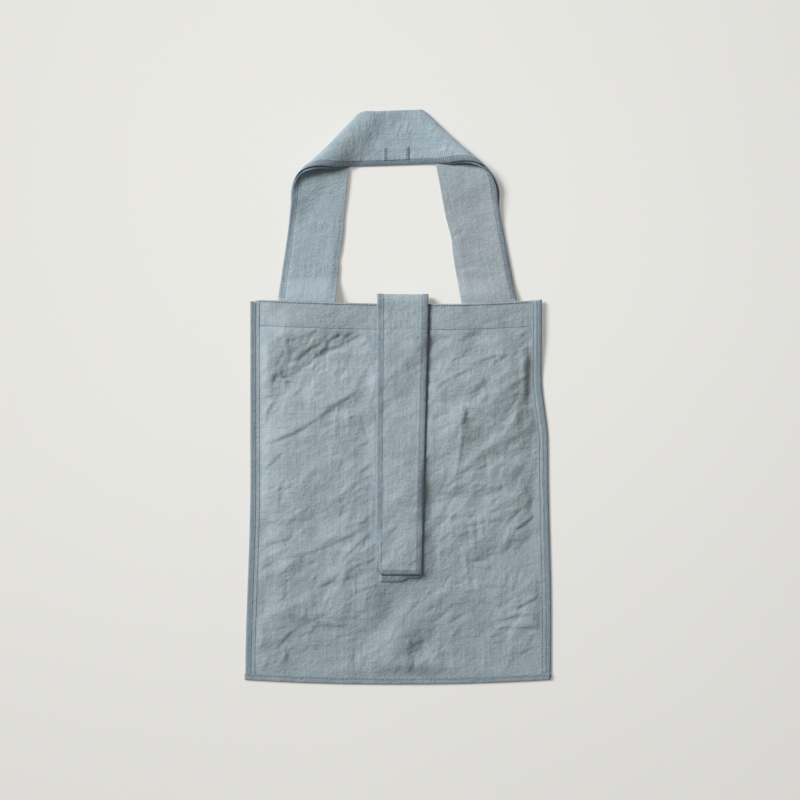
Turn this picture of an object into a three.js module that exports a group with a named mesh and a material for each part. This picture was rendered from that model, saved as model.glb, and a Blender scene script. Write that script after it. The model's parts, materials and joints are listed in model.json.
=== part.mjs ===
// A tote bag of washed cloth, laid flat on its back with its mouth and its handles towards +Y.
// Two panels are overlocked together down the sides and turned together along the bottom.
// Facings line the mouth and hold the sewn ends of two flat handles and two closing ties.
// Each handle is a strip doubled along its length. It is folded over at both top corners, so
// that its top section lies across its own legs. Both ties hang over the front of the bag.
// Millimetres, +Z up. While it is built, the mouth edge is the line y = 0.

import * as THREE from 'three';

// Cloth and clearances
const PLY = 0.5; // one thickness of the cloth
const STRAP = 2 * PLY; // a handle strip, doubled along its length
const CLEARANCE = 0.3; // between plies that lie against each other
const SPLIT = 0.4; // across the line where a sewn end meets the part of it that swings

// Body of the bag
const BAG_HEIGHT = 379; // mouth edge to bottom edge
const MOUTH_WIDTH = 293;
const BOTTOM_WIDTH = 307;
const MOUTH_GAPE = 5.2; // between the facings, in the middle of the mouth
const MOUTH_SQUARENESS = 6; // how squarely the front panel drops to the side seams at the mouth
const BOTTOM_SQUARENESS = 2.2; // and at the bottom, where it is rounder
const SAG_POWER = 1.8; // how late the front panel drops to the bottom seam
const LIFT = 10; // width over which the back panel rises from the floor into a seam

// Seams
const SEAM_WIDTH = 10; // overlocking and safety stitch down each side
const BOTTOM_SEAM = 6; // turned edge along the bottom
const SEAM_SKIN = 0.4; // thread, or turned cloth, round the two plies of a seam
const SEAM_EASE = 0.8; // from a seam to where the panel starts to rise
const HEM_DEPTH = 28; // mouth edge to the hem stitching
const HEM_MARGIN = 6; // from the hem stitching up to the sewn ends

// Handles
const HANDLE_WIDTH = 57;
const HANDLE_RISE = 163; // mouth edge to the middle of the top section
const TOP_TILT = THREE.MathUtils.degToRad(2);
const LEFT_LEG = { side: -1, inset: 27, lean: THREE.MathUtils.degToRad(5.7) };
const RIGHT_LEG = { side: 1, inset: 24.5, lean: THREE.MathUtils.degToRad(10.5) };
const LEG_RAMP = 38; // height over which a leg comes down from the mouth
const BACK_FOLD_GAP = 1; // between the legs and the top section that lies on them
const FRONT_FOLD_GAP = 2;

// Label on the top section of the front handle
const LABEL_WIDTH = 26;
const LABEL_HEIGHT = 14;
const LABEL_DROP = 17; // from the middle of the top section down to the middle of the label

// Closing ties
const BACK_TIE = { centre: 4.4, width: 48.5, length: 272, slant: 0.0125, bulge: 9.5 };
const FRONT_TIE = { centre: 3, width: 48.5, length: 278, slant: 0.018, bulge: 4 };

// How finely the curved cloth is divided
const CROWN_COLUMNS = 18;
const SAG_ROWS = 12;
const FOLD_STEPS = 8;
const STRAP_COLUMNS = 6;
const TIE_COLUMNS = 4;
const TIE_ROWS = 7;
const TIE_BEND_STEPS = 5;
const SEAM_TURN_STEPS = 6;

// Heights in the mouth, from the floor up
const BACK_ENDS_UNDER = PLY + CLEARANCE;
const BACK_FACING_UNDER = BACK_ENDS_UNDER + STRAP + CLEARANCE;
const BACK_FACING_TOP = BACK_FACING_UNDER + PLY;
const FACING_BELOW_PANEL = CLEARANCE + STRAP + CLEARANCE + PLY; // front panel down to the facing's underside
const FRONT_UNDER = BACK_FACING_TOP + MOUTH_GAPE + FACING_BELOW_PANEL;

// Heights in a seam, from the floor up
const SEAM_BACK_UNDER = SEAM_SKIN + CLEARANCE;
const SEAM_FRONT_UNDER = SEAM_BACK_UNDER + PLY + CLEARANCE;
const SEAM_TOP = SEAM_FRONT_UNDER + PLY + CLEARANCE + SEAM_SKIN;

const UP = new THREE.Vector3(0, 0, 1);
const SEWN_DEPTH = HEM_DEPTH - HEM_MARGIN;

const cloth = new THREE.MeshStandardMaterial({ color: 0x98a8b0, roughness: 0.95, metalness: 0 });
const thread = new THREE.MeshStandardMaterial({ color: 0x8b9ba6, roughness: 0.85, metalness: 0 });

const bag = new THREE.Group();

function addPiece(name, geometry, material) {
  geometry.computeVertexNormals();
  const piece = new THREE.Mesh(geometry, material);
  piece.name = name;
  bag.add(piece);
}

const lerp = THREE.MathUtils.lerp;
const ease = (share) => THREE.MathUtils.smoothstep(share, 0, 1);
const spread = (from, to, steps) => Array.from({ length: steps + 1 }, (_, k) => lerp(from, to, k / steps));

// One place on a piece of cloth: a point on its upper face and the point below it on the other.
function stationAt(middle, normal, thickness) {
  const half = normal.clone().multiplyScalar(thickness / 2);
  return { over: middle.clone().add(half), under: middle.clone().sub(half) };
}

function layer(x, y, underside, thickness) {
  return stationAt(new THREE.Vector3(x, y, underside + thickness / 2), UP, thickness);
}

// A closed solid from rows of stations. Columns, rows and the upper face are right-handed.
function clothSolid(rows) {
  const columns = rows[0].length;
  const lastRow = rows.length - 1;
  const lastColumn = columns - 1;
  const stations = rows.flat();
  const points = [...stations.map((s) => s.over), ...stations.map((s) => s.under)];
  const over = (row, column) => row * columns + column;
  const under = (row, column) => stations.length + over(row, column);
  const index = [];
  const quad = (a, b, c, d) => index.push(a, b, c, a, c, d);
  for (let r = 0; r < lastRow; r++) {
    for (let c = 0; c < lastColumn; c++) {
      quad(over(r, c), over(r, c + 1), over(r + 1, c + 1), over(r + 1, c));
      quad(under(r, c), under(r + 1, c), under(r + 1, c + 1), under(r, c + 1));
    }
    quad(under(r + 1, 0), under(r, 0), over(r, 0), over(r + 1, 0));
    quad(under(r, lastColumn), under(r + 1, lastColumn), over(r + 1, lastColumn), over(r, lastColumn));
  }
  for (let c = 0; c < lastColumn; c++) {
    quad(under(0, c), under(0, c + 1), over(0, c + 1), over(0, c));
    quad(under(lastRow, c + 1), under(lastRow, c), over(lastRow, c), over(lastRow, c + 1));
  }
  const geometry = new THREE.BufferGeometry().setFromPoints(points);
  geometry.setIndex(index);
  return geometry;
}

// The outline of the body and the heights of its panels
const halfWidth = (y) => lerp(MOUTH_WIDTH, BOTTOM_WIDTH, -y / BAG_HEIGHT) / 2;
const crownHalf = (y) => halfWidth(y) - SEAM_WIDTH - SEAM_EASE;
const panelHalf = (y) => halfWidth(y) - SEAM_SKIN - 2 * CLEARANCE;
const FREE_HEIGHT = BAG_HEIGHT - BOTTOM_SEAM - SEAM_EASE;
const PANEL_BOTTOM = -(BAG_HEIGHT - SEAM_SKIN - 2 * CLEARANCE);
const CROWN_RISE = FRONT_UNDER - SEAM_FRONT_UNDER;

// The front panel is fullest at the mouth, which the straps hold open, and sinks to the seams.
const squareness = (y) => lerp(MOUTH_SQUARENESS, BOTTOM_SQUARENESS, -y / BAG_HEIGHT);
const fullness = (y) => Math.max(0, 1 - Math.max(0, -y / FREE_HEIGHT) ** SAG_POWER);

function frontUnder(x, y) {
  const across = Math.max(0, 1 - Math.abs(x / crownHalf(y)) ** squareness(y));
  return SEAM_FRONT_UNDER + CROWN_RISE * across * fullness(y);
}

function backUnder(x, y) {
  const sideways = (Math.abs(x) - crownHalf(y)) / LIFT + 1;
  const downwards = (-y - FREE_HEIGHT) / LIFT + 1;
  return SEAM_BACK_UNDER * THREE.MathUtils.clamp(Math.max(sideways, downwards), 0, 1);
}

function addPanels() {
  const frontRow = (y) => {
    const crown = spread(-1, 1, CROWN_COLUMNS).map((u) => crownHalf(y) * Math.sin((u * Math.PI) / 2));
    return [-panelHalf(y), ...crown, panelHalf(y)].map((x) => layer(x, y, frontUnder(x, y), PLY));
  };
  const frontHeights = [PANEL_BOTTOM, ...spread(-FREE_HEIGHT, 0, SAG_ROWS)];
  addPiece('front_panel', clothSolid(frontHeights.map(frontRow)), cloth);

  const backRow = (y) => {
    const right = [crownHalf(y) - LIFT, crownHalf(y), panelHalf(y)];
    const across = [...right.map((x) => -x).reverse(), ...right];
    return across.map((x) => layer(x, y, backUnder(x, y), PLY));
  };
  const backHeights = [PANEL_BOTTOM, -FREE_HEIGHT, LIFT - FREE_HEIGHT, 0];
  addPiece('back_panel', clothSolid(backHeights.map(backRow)), cloth);
}

// The facings stop where the two sides of the mouth come together.
function addFacings() {
  const closed = BACK_FACING_TOP + CLEARANCE + FACING_BELOW_PANEL;
  const closedShare = (closed - SEAM_FRONT_UNDER) / (CROWN_RISE * fullness(-HEM_DEPTH));
  const half = crownHalf(-HEM_DEPTH) * (1 - closedShare) ** (1 / squareness(-HEM_DEPTH));
  const across = spread(-1, 1, CROWN_COLUMNS).map((u) => half * Math.sin((u * Math.PI) / 2));
  const facing = (underside) =>
    clothSolid([-HEM_DEPTH, 0].map((y) => across.map((x) => layer(x, y, underside(x, y), PLY))));
  addPiece('front_facing', facing((x, y) => frontUnder(x, y) - FACING_BELOW_PANEL), cloth);
  addPiece('back_facing', facing(() => BACK_FACING_UNDER), cloth);
}

// A seam wraps the edges of both panels. Its section is a channel with a half-round back, whose
// open side lies on the line from start to end and whose back lies to the right of that line.
function seam(name, depth, start, end, material) {
  const outerRadius = SEAM_TOP / 2;
  const turn = spread(-Math.PI / 2, Math.PI / 2, SEAM_TURN_STEPS);
  const arc = (radius) =>
    turn.map((a) => {
      const out = depth - outerRadius + radius * Math.cos(a);
      return new THREE.Vector2(out, outerRadius + radius * Math.sin(a));
    });
  const outside = arc(outerRadius);
  const inside = arc(outerRadius - SEAM_SKIN).reverse();
  const mouth = [SEAM_TOP, SEAM_TOP - SEAM_SKIN, SEAM_SKIN, 0].map((z) => new THREE.Vector2(0, z));
  const outline = [...outside, mouth[0], mouth[1], ...inside, mouth[2], mouth[3]];
  const along = end.clone().sub(start);
  const length = along.length();
  along.normalize();
  const outward = UP.clone().cross(along);
  const geometry = new THREE.ExtrudeGeometry(new THREE.Shape(outline), {
    depth: length,
    steps: 1,
    bevelEnabled: false,
  });
  geometry.applyMatrix4(new THREE.Matrix4().makeBasis(outward, UP, along).setPosition(start));
  addPiece(name, geometry, material);
}

function addSeams() {
  const seamPoint = (side, y) => new THREE.Vector3(side * (halfWidth(y) - SEAM_WIDTH), y, 0);
  seam('right_overlock', SEAM_WIDTH, seamPoint(1, 0), seamPoint(1, -BAG_HEIGHT), thread);
  seam('left_overlock', SEAM_WIDTH, seamPoint(-1, -BAG_HEIGHT), seamPoint(-1, 0), thread);
  const bandTop = BOTTOM_SEAM - BAG_HEIGHT;
  const bandHalf = halfWidth(bandTop) - SEAM_WIDTH - CLEARANCE;
  const right = new THREE.Vector3(bandHalf, bandTop, 0);
  const left = new THREE.Vector3(-bandHalf, bandTop, 0);
  seam('bottom_seam', BOTTOM_SEAM, right, left, cloth);
}

const legCentre = (leg) => leg.side * (MOUTH_WIDTH / 2 - leg.inset - HANDLE_WIDTH / 2);
const strapOffsets = spread(HANDLE_WIDTH / 2, -HANDLE_WIDTH / 2, STRAP_COLUMNS); // outer edge first

// Rows of one half of a handle, from the mouth up the leg and round the corner fold.
function halfHandleRows(leg, baseMiddle, legMiddle, foldRadius) {
  const up = new THREE.Vector3(-leg.side * Math.sin(leg.lean), Math.cos(leg.lean), 0);
  const out = new THREE.Vector3(leg.side * Math.cos(leg.lean), Math.sin(leg.lean), 0);
  const inwards = new THREE.Vector3(Math.cos(TOP_TILT), Math.sin(TOP_TILT), 0).multiplyScalar(-leg.side);
  const foot = new THREE.Vector3(legCentre(leg), 0, 0);

  const legRow = (height) =>
    strapOffsets.map((w) => {
      const place = foot.clone().addScaledVector(up, height / up.y).addScaledVector(out, w);
      place.y = height;
      place.z = lerp(baseMiddle(place.x), legMiddle, ease(height / LEG_RAMP));
      return stationAt(place, UP, STRAP);
    });

  // The corner lies where the middle of the leg meets the middle of the top section.
  const topMiddle = new THREE.Vector3(0, HANDLE_RISE, 0);
  const apart = topMiddle.clone().sub(foot);
  const reach = (apart.x * inwards.y - apart.y * inwards.x) / (up.x * inwards.y - up.y * inwards.x);
  const corner = foot.clone().addScaledVector(up, reach).setZ(legMiddle);
  const crease = up.clone().add(inwards).normalize();
  const creaseSine = Math.abs(up.clone().cross(crease).z);
  const beyond = up.clone().addScaledVector(crease, -up.dot(crease)).normalize();
  const foldRow = (angle) =>
    strapOffsets.map((w) => {
      const place = corner.clone().addScaledVector(crease, -w / creaseSine);
      place.addScaledVector(beyond, foldRadius * Math.sin(angle));
      place.addScaledVector(UP, foldRadius * (1 - Math.cos(angle)));
      const normal = UP.clone().multiplyScalar(Math.cos(angle)).addScaledVector(beyond, -Math.sin(angle));
      return stationAt(place, normal, STRAP);
    });

  const legRows = [SPLIT / 2, ...spread(0, LEG_RAMP, 4).slice(1)].map(legRow);
  return [...legRows, ...spread(0, Math.PI, FOLD_STEPS).map(foldRow)];
}

function handle(baseMiddle, legMiddle, foldGap) {
  const foldRadius = (STRAP + foldGap) / 2;
  const down = new THREE.Vector3(Math.sin(TOP_TILT), -Math.cos(TOP_TILT), 0);
  const topRow = strapOffsets.map((w) => {
    const place = new THREE.Vector3(0, HANDLE_RISE, legMiddle + 2 * foldRadius).addScaledVector(down, w);
    return stationAt(place, UP.clone().negate(), STRAP);
  });
  const left = halfHandleRows(LEFT_LEG, baseMiddle, legMiddle, foldRadius);
  const right = halfHandleRows(RIGHT_LEG, baseMiddle, legMiddle, foldRadius);
  return clothSolid([...left, topRow, ...right.reverse()]);
}

function addSewnEnd(name, leg, underside) {
  const across = spread(-HANDLE_WIDTH / 2, HANDLE_WIDTH / 2, STRAP_COLUMNS).map((w) => legCentre(leg) + w);
  const rows = [-SEWN_DEPTH, -SPLIT / 2].map((y) => across.map((x) => layer(x, y, underside(x, y), STRAP)));
  addPiece(name, clothSolid(rows), cloth);
}

function addHandles() {
  const frontEnd = (x, y) => frontUnder(x, y) - CLEARANCE - STRAP;
  const backEnd = () => BACK_ENDS_UNDER;
  const legs = { left: LEFT_LEG, right: RIGHT_LEG };
  for (const [side, leg] of Object.entries(legs)) {
    addSewnEnd(`front_handle_${side}_end`, leg, frontEnd);
    addSewnEnd(`back_handle_${side}_end`, leg, backEnd);
  }

  // The back handle lies on the floor and the front handle lies on it.
  const backHandleTop = 2 * STRAP + BACK_FOLD_GAP;
  const frontLegUnder = backHandleTop + CLEARANCE;
  const frontHandleTop = frontLegUnder + 2 * STRAP + FRONT_FOLD_GAP;
  const baseOf = (underside) => (x) => underside(x, 0) + STRAP / 2;
  addPiece('back_handle', handle(baseOf(backEnd), STRAP / 2, BACK_FOLD_GAP), cloth);
  addPiece('front_handle', handle(baseOf(frontEnd), frontLegUnder + STRAP / 2, FRONT_FOLD_GAP), cloth);

  const label = new THREE.BoxGeometry(LABEL_WIDTH, LABEL_HEIGHT, PLY);
  label.rotateZ(TOP_TILT);
  label.translate(0, HANDLE_RISE - LABEL_DROP, frontHandleTop + CLEARANCE + PLY / 2);
  addPiece('label', label, cloth);
}

// A tie leaves its side of the mouth, bends over the mouth edge and lies down the front. The part
// up to the crest of the bend stays with the bag, and the part from the crest on swings.
function addTie(name, tie, tailMiddle, aboveFront) {
  const across = spread(-tie.width / 2, tie.width / 2, TIE_COLUMNS).map((w) => tie.centre + w);
  const restMiddle = (x, y) => frontUnder(x, y) + PLY + aboveFront;
  const crestMiddle = restMiddle(tie.centre, 0);
  const bendHeight = (crestMiddle - tailMiddle) / 2;
  const bendRow = (angle) => {
    const y = tie.bulge * Math.sin(angle);
    const z = tailMiddle + bendHeight * (1 - Math.cos(angle));
    const normal = new THREE.Vector3(0, -bendHeight * Math.sin(angle), tie.bulge * Math.cos(angle));
    return across.map((x) => stationAt(new THREE.Vector3(x, y, z), normal.clone().normalize(), PLY));
  };
  const halfSplit = SPLIT / 2 / bendHeight;
  const tailRow = across.map((x) => layer(x, -SEWN_DEPTH, tailMiddle - PLY / 2, PLY));
  const rising = spread(0, Math.PI / 2 - halfSplit, TIE_BEND_STEPS).map(bendRow);
  addPiece(`${name}_root`, clothSolid([tailRow, ...rising]), cloth);

  const falling = spread(Math.PI / 2 + halfSplit, Math.PI, TIE_BEND_STEPS).map(bendRow);
  const lying = spread(0, -tie.length, TIE_ROWS).slice(1).map((y) =>
    across.map((start) => {
      const x = start + tie.slant * y;
      return stationAt(new THREE.Vector3(x, y, restMiddle(x, y)), UP.clone().negate(), PLY);
    }));
  addPiece(name, clothSolid([...falling, ...lying]), cloth);
}

function addTies() {
  const frontFacingTop = FRONT_UNDER - FACING_BELOW_PANEL + PLY;
  const onFront = CLEARANCE + PLY / 2;
  addTie('front_tie', FRONT_TIE, frontFacingTop + CLEARANCE + PLY / 2, onFront);
  addTie('back_tie', BACK_TIE, BACK_ENDS_UNDER + PLY / 2, onFront + PLY + CLEARANCE);
}

addPanels();
addFacings();
addSeams();
addHandles();
addTies();

// The origin is the middle of the underside of the whole bag's box.
const extent = new THREE.Box3().setFromObject(bag, true);
const middle = extent.getCenter(new THREE.Vector3());
bag.position.set(-middle.x, -middle.y, -extent.min.z);

const tote = new THREE.Group();
tote.add(bag);

export default tote;
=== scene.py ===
"""Looks of a washed cloth tote bag that lies flat on its back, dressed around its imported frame.

Lengths in this script are millimetres, and meshes are written in metres. The mouth of the bag and
its handles point to +Y. A sheet of cloth is a grid of points on its middle surface. Its columns run
across the cloth and its rows run along it.
"""

import json
import math

import bpy
import numpy as np
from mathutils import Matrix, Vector

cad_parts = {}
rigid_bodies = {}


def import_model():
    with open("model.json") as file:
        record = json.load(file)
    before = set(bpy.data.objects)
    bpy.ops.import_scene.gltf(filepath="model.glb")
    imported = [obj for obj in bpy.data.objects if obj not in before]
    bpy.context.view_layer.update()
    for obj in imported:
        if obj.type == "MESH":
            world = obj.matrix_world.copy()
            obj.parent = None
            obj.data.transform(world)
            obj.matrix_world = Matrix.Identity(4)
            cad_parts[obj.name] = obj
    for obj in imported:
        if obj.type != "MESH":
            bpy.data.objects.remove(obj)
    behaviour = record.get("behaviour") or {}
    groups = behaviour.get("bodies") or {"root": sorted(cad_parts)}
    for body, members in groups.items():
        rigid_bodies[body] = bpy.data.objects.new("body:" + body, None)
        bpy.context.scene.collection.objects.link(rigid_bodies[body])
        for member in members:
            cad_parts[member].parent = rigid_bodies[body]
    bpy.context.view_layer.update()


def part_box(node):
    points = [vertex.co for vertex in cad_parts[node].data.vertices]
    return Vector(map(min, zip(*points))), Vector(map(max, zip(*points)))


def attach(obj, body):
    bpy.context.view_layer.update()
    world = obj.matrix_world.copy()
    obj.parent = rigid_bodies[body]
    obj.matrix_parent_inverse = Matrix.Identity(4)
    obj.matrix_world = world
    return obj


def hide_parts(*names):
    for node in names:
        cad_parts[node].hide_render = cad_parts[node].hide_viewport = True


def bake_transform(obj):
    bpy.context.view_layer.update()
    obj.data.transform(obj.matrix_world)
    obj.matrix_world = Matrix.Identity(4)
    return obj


MM = 0.001

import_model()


def box_mm(node):
    low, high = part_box(node)
    return np.array(low) / MM, np.array(high) / MM


def across_mm(node):
    """Middle and half the width of a node."""
    low, high = box_mm(node)
    return (low[0] + high[0]) / 2, (high[0] - low[0]) / 2


# Cloth and thread
PLY = 0.5
PANEL_STEP = 1.5  # grid of the front panel
BACK_STEP = 2.4
STRIP_STEP = 1.5
HIDDEN_STEP = 2  # grid of the facings, the sewn ends and the bottom band
THREAD = 0.24  # radius of the overlocking and of the heavier stitches
FINE_THREAD = 0.2  # radius of the thread along the mouth and the bottom
STRIP_THREAD = 0.22  # radius of the thread along ties and handles
THREAD_REFERENCE = (0.31, 0.17, 0.94)  # a direction that no thread runs along

# Body, with its outline from the frame
SEAM_WIDTH = 10
EDGE_MARGIN = 0.5  # from the outside of the overlocking to the edges of the panels
panel_low, panel_high = box_mm("front_panel")
seam_low, seam_high = box_mm("left_overlock")
MOUTH = panel_high[1]
BOTTOM = seam_low[1]
BAG_HEIGHT = MOUTH - BOTTOM
PANEL_HEIGHT = MOUTH - panel_low[1]
MOUTH_HALF = SEAM_WIDTH - seam_high[0]
BOTTOM_HALF = -seam_low[0]
SEAM_FRONT = 1.2  # middle of the front panel at its seams
SEAM_BACK_LIFT = 0.4  # how far the back panel rises into a seam
CROWN_RISE = panel_high[2] - PLY / 2 - SEAM_FRONT
BOTTOM_SEAM = 6
SEAM_EASE = 0.8  # from a seam to where the front panel starts to rise
FREE_HEIGHT = BAG_HEIGHT - BOTTOM_SEAM - SEAM_EASE
CROWN_MARGIN = SEAM_WIDTH + SEAM_EASE
MOUTH_SQUARENESS = 6
BOTTOM_SQUARENESS = 2.2
SAG_POWER = 3.4
BACK_LIFT = 10  # width over which the back panel rises from the floor into a seam
HEM_DEPTH = MOUTH - box_mm("front_facing")[0][1]
EDGE_STITCH = 1.7  # mouth edge to the stitching along it
HEM_MARGIN = 2.5  # hem stitching to the lower edge of the facing
HEM_STITCH = HEM_DEPTH - HEM_MARGIN
SEWN_DEPTH = MOUTH - box_mm("front_handle_left_end")[0][1]
FACING_DROP = 2.1  # front panel to its facing, middle to middle
FACING_FOLD = 0.1  # gap between a panel and its facing where they are folded at the mouth
FACING_TURN = 3  # depth over which a facing comes to its fold
END_DROP = 1.05  # front panel to a sewn end, middle to middle
BACK_END_HEIGHT = 1.3

# Overlocking
OVERLOCK_PITCH = 2.2
SIDE_OVERLOCK = 5.5  # width down the side seams
STRIP_OVERLOCK = 5.6  # width along ties and handles
SAFETY_STITCH = 9.5  # from the outside of the seam
STITCH_PITCH = 2.65

# Radii of needle holes
MOUTH_HOLE = 0.8
HEM_HOLE = 0.66
BOTTOM_HOLE = 0.6
SAFETY_HOLE = 0.5
SIDE_HOLE = 0.44
LABEL_HOLE = 0.42
EDGE_HOLE = 0.36
SIDE_HOLE_INSET = 0.6  # from the overlocking of a side to its inner holes
EDGE_HOLE_INSET = 0.9  # from its edge to its outer holes

# Band along the bottom
BAND_RADIUS = 1.25  # of its fold round the edges of the panels
BAND_MIDDLE = 1.45  # height of the middle of that fold
BAND_SLOPE = 0.16  # how the band rises away from the edge
BAND_OUT = 0.8  # how far it stands out below the body's outline
BAND_UNDER_SEAMS = 9.6  # how far it runs under each side seam
BAND_PLY = 0.4
BAND_STEP = 1.2
BAND_FOLD_ROWS = 9

# Handles, with their feet and their width from the frame
HANDLE_RISE = 163
TOP_TILT = math.radians(2)
LEFT_LEAN = math.radians(5.7)
RIGHT_LEAN = math.radians(10.5)
LEG_RAMP = 27  # height over which a leg comes down from the mouth
MOUTH_EASE = 30  # height over which its foot stops following the curve of the mouth
TILT_TOP = 60  # height up to which it lies aslant, and over which that ends
CORNER_FOOT = 82  # height where it starts to rise to its corner
CORNER_RAMP = 48
DROOP_FOOT = 20  # heights between which the edges of a leg hang down
DROOP_TOP = 115
DROOP_RAMP = 40
FLARE_TOP = 90  # height up to which the serged edge stands out sideways
FALL_SHARES = (0.95, 0.6)  # of the top section, where it comes down, at the plain and the serged edge
ROLL_EASE = (24, 55)  # length over which a roll's slack eases off, at the plain and at the serged edge
# Rows of half a handle, closest where it turns over: start, end, count
HANDLE_SPANS = [(0, 0.48, 62), (0.48, 0.88, 110), (0.88, 1, 16)]
HANDLE_CRUMPLE = 0.22  # height of its crumples, as a share of the body's
HANDLE_RIPPLE = 0.12
HANDLE_PLY = 0.45
PLY_GAP = 0.3  # half the distance between the plies of a handle
ROLL_SHARES = (0.28, 0.72)  # where the rolls are along the strip
# How the plies slip out at the serged edge: how far, start and end along the strip, ramp
OUTER_SLIPS = [(2.0, 0.71, 0.8, 0.04)]
INNER_SLIPS = [(2.6, 0.27, 0.42, 0.05), (2.2, 0.58, 0.73, 0.05)]
HANDLE_END = 3  # length without thread at the ends of a handle
left_foot, half_width = across_mm("front_handle_left_end")
right_foot, _ = across_mm("front_handle_right_end")
HANDLE_WIDTH = 2 * half_width
LEFT_LEG = {"side": -1, "foot": left_foot, "lean": LEFT_LEAN}
RIGHT_LEG = {"side": 1, "foot": right_foot, "lean": RIGHT_LEAN}
LABEL_WIDTH = 26
LABEL_LOW = 4.8  # from the serged edge to the label
LABEL_HEIGHT = 13
LABEL_PLY = 0.25


def lerp(a, b, share):
    return a + (b - a) * share


def smooth(share):
    share = np.clip(share, 0, 1)
    return share * share * (3 - 2 * share)


def window(value, low, high, ramp):
    """1 well inside a range and 0 outside it."""
    return smooth((value - low) / ramp) * smooth((high - value) / ramp)


def unit(vectors):
    return vectors / np.maximum(np.linalg.norm(vectors, axis=-1, keepdims=True), 1e-9)


def xyz(x, y, z):
    return np.stack(np.broadcast_arrays(x, y, z), axis=-1)


def spread(low, high, step):
    return np.linspace(low, high, max(2, round(abs(high - low) / step) + 1))


# Random fields, each from its own seed
LATTICE = 64


def noise(u, v, cell, seed):
    """Smooth noise from -1 to 1, with bumps about one cell wide."""
    lattice = np.random.default_rng(seed).uniform(-1, 1, (LATTICE, LATTICE))
    a = np.asarray(u) / cell
    b = np.asarray(v) / cell
    i = np.floor(a).astype(int)
    j = np.floor(b).astype(int)
    s = smooth(a - i)
    t = smooth(b - j)

    def corner(di, dj):
        return lattice[(i + di) % LATTICE, (j + dj) % LATTICE]

    near = lerp(corner(0, 0), corner(1, 0), s)
    far = lerp(corner(0, 1), corner(1, 1), s)
    return lerp(near, far, t)


def facets(u, v, cell, seed, stretch=1.0, turn=0.0):
    """Shallow dishes about one cell wide that meet in sharp ridges, from 0 to about 1."""
    points = np.random.default_rng(seed).uniform(0, 1, (LATTICE, LATTICE, 2))
    a = (u * math.cos(turn) + v * math.sin(turn)) / (cell * stretch)
    b = (v * math.cos(turn) - u * math.sin(turn)) / cell
    i = np.floor(a).astype(int)
    j = np.floor(b).astype(int)
    nearest = np.full(a.shape, 9.0)
    for di in (-1, 0, 1):
        for dj in (-1, 0, 1):
            place = points[(i + di) % LATTICE, (j + dj) % LATTICE]
            away = (i + di + place[..., 0] - a) ** 2 + (j + dj + place[..., 1] - b) ** 2
            nearest = np.minimum(nearest, away)
    return nearest


def beside_line(u, v, start, end, bow):
    """Distance to the left of a bowed line, and how far inside its ends a place lies, from 0 to 1."""
    length = math.dist(start, end)
    du = (end[0] - start[0]) / length
    dv = (end[1] - start[1]) / length
    t = ((u - start[0]) * du + (v - start[1]) * dv) / length
    off = (v - start[1]) * du - (u - start[0]) * dv - 4 * bow * t * (1 - t)
    return off, np.sqrt(np.clip(4 * t * (1 - t), 0, 1))


def crease(u, v, start, end, bow, width, height):
    """A sharp ridge, or a sharp valley where its height is negative."""
    off, inside = beside_line(u, v, start, end, bow)
    return height * inside * np.exp(-np.abs(off) / width)


FOLD_LIP = 1.0  # half the width of the steep part of a fold


def step_fold(u, v, start, end, bow, width, height):
    """A fold whose left side lies higher than its right side, going from start to end."""
    off, inside = beside_line(u, v, start, end, bow)
    return height * inside * np.tanh(off / FOLD_LIP) * np.exp(-np.abs(off) / width)


# Ridges and valleys of the front panel: start, end, bow, width, height
FRONT_CREASES = [
    ((-112, 14), (-34, 60), 3, 18, -4.4),
    ((-124, 18), (-84, 11), 2, 10, -2.6),
    ((-106, 4), (-96, -12), 3, 2, 0.7),
    ((-92, 5), (-70, 3), 1, 2, 0.6),
    ((-129, 66), (-127, -2), 0, 8, 1.5),
    ((-110, 2), (-99, -10), -3, 1.6, 0.9),
    ((-50, -8), (-48, -40), 0, 2.5, 0.6),
    ((-62, 14), (-44, 21), 0, 2, 0.6),
    ((135, 60), (131, -12), 0, 9, -3.4),
    ((55, -100), (68, -12), -1, 12, 2.6),
    ((68, -10), (81, -13), 0, 2, 1.2),
    ((83, -17), (114, -28), -1, 4, -1.0),
    ((90, -57), (134, -73), 2, 5, -1.2),
    ((123, -108), (136, -120), 0, 3, 0.7),
    ((43, -160), (67, -162), 0, 8, -1.0),
    ((73, -173), (118, -187), 0, 5, 0.9),
    ((-123, -221), (-42, -222), 3, 6, 1.0),
    ((22, -246), (30, -262), 0, 9, -1.0),
    ((-85, -284), (-83, -238), 0, 3, 0.6),
    ((-43, -284), (-41, -240), 0, 3, -0.6),
    ((-29, -284), (-28, -236), 0, 3, -0.5),
    ((8, -284), (10, -244), 0, 3, 0.6),
    ((46, -284), (48, -250), 0, 3, -0.5),
    ((88, -284), (86, -252), 0, 3, 0.5),
]

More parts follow.
